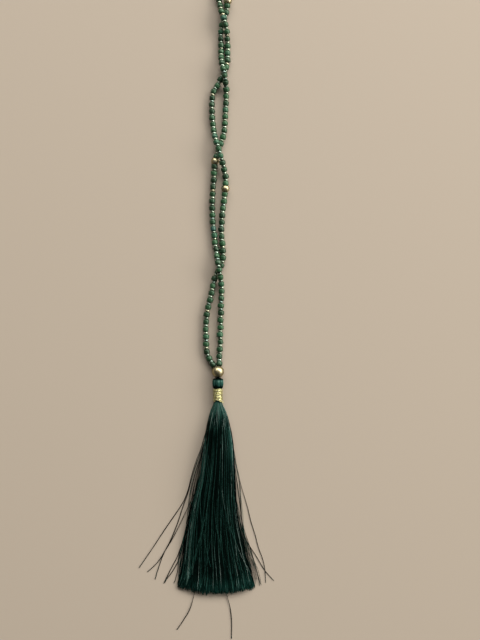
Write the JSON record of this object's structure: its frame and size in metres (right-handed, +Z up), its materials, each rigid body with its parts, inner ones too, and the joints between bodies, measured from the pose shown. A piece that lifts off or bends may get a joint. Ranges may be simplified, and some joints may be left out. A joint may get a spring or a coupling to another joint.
{
  "type": "mala",
  "caption": "Seed bead mala laid flat: a long loop of green beads with gold accent beads, its sides twisted together above a guru bead and a silk tassel.",
  "frame": {"origin": "middle of the whole laid-out outline, on the surface that the mala lies on", "axes": "+Z up from the surface; +Y from the tassel towards the loop's far end; +X to the right of that, seen from above"},
  "size_m": [0.099, 0.461, 0.007],
  "materials": {
    "seed_beads": "satin opaque glass",
    "spacer_beads": "bright plated metal",
    "gold_metal": "polished pale gold plating",
    "silk": "glossy floss",
    "gold_thread": "metallic wound thread"
  },
  "bodies": {
    "root": {"right_strand": "seed_beads", "left_strand": "seed_beads", "gold_bead_1": "gold_metal", "gold_bead_2": "gold_metal", "gold_bead_3": "gold_metal", "gold_bead_4": "gold_metal", "gold_bead_5": "gold_metal", "gold_bead_6": "gold_metal", "gold_bead_7": "gold_metal", "guru_bead": "gold_metal", "silk_tassel": "silk", "gold_binding": "gold_thread"}
  },
  "joints": []
}
